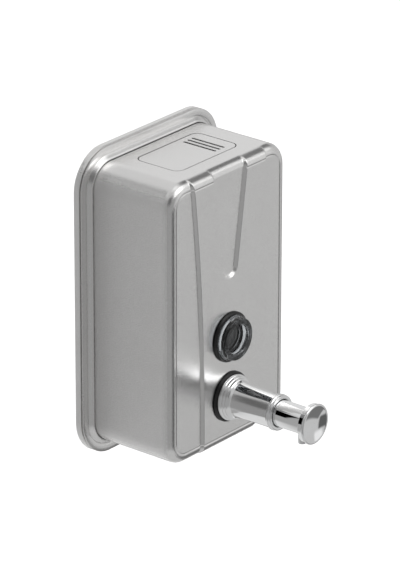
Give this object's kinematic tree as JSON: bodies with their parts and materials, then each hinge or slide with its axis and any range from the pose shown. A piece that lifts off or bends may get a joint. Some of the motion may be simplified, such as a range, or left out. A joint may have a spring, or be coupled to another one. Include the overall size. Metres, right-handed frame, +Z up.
{
  "type": "wall mounted soap dispenser",
  "caption": "Stainless steel wall mounted liquid soap dispenser: a tank with a lockable top filler lid, a round sight window and a horizontal push plunger pump.",
  "frame": {"origin": "middle of the wall bracket's flat back face, on the wall plane", "axes": "+Y points out of the back into the wall, the dispenser faces -Y, +Z is up, +X is to the right as a user faces the dispenser"},
  "size_m": [0.1326, 0.1384, 0.205],
  "materials": {
    "brushed_stainless": "satin brushed stainless steel",
    "inner_steel": "plain steel strip, lightly rolled",
    "chrome": "bright chrome plate",
    "black_rubber": "matt black rubber",
    "clear_plastic": "clear polished plastic",
    "white_plastic": "natural white moulded plastic",
    "ball_steel": "polished stainless ball",
    "spring_steel": "drawn stainless spring wire"
  },
  "bodies": {
    "root": {"wall_bracket": "inner_steel", "locking_screw": "inner_steel", "hanger_strap": "inner_steel", "back_plate": "brushed_stainless", "flange_frame": "brushed_stainless", "body_shell": "brushed_stainless", "filler_frame": "brushed_stainless", "lid_gasket": "black_rubber", "lid_hinge_bracket": "inner_steel", "lid_hinge_pin": "inner_steel", "window_gasket": "black_rubber", "window_lens": "clear_plastic", "window_washer": "black_rubber", "window_nut": "white_plastic", "pump_gasket": "black_rubber", "pump_barrel": "chrome", "pump_washer": "black_rubber", "pump_nut": "chrome", "pump_cylinder": "white_plastic", "rod_guide": "white_plastic", "guide_bush": "white_plastic", "wiper_seal": "black_rubber", "inlet_elbow": "white_plastic", "suction_strainer": "white_plastic", "return_spring": "spring_steel"},
    "lid": {"filler_lid": "brushed_stainless", "lid_hinge_leaf": "inner_steel", "lock_guide": "inner_steel"},
    "lock_bolt": {"lock_bolt": "inner_steel"},
    "plunger": {"plunger_tube": "chrome", "plunger_rod": "white_plastic", "piston": "white_plastic", "piston_seal": "black_rubber", "button_cap": "chrome", "spout_nozzle": "chrome", "outlet_spring": "spring_steel"},
    "outlet_ball": {"outlet_ball": "ball_steel"},
    "inlet_ball": {"inlet_ball": "ball_steel"}
  },
  "joints": [
    {"name": "plunger_push", "type": "slide", "parent": "root", "child": "plunger", "axis": [0, 1, 0], "range_m": [0, 0.013], "stiffness_N_per_m": 350, "springref_m": -0.01, "deforming": ["return_spring"]},
    {"name": "lid_hinge", "type": "hinge", "parent": "root", "child": "lid", "pos_m": [-0.019, -0.036, 0.0903], "axis": [0, -1, 0], "range_deg": [0, 94]},
    {"name": "lock_slide", "type": "slide", "parent": "lid", "child": "lock_bolt", "axis": [0, -1, 0], "range_m": [0, 0.0045]},
    {"name": "outlet_valve", "type": "slide", "parent": "plunger", "child": "outlet_ball", "axis": [0, -1, 0], "range_m": [0, 0.0015], "stiffness_N_per_m": 60, "springref_m": -0.001, "deforming": ["outlet_spring"]},
    {"name": "inlet_valve", "type": "slide", "parent": "root", "child": "inlet_ball", "axis": [0, 0, 1], "range_m": [0, 0.0025]}
  ]
}
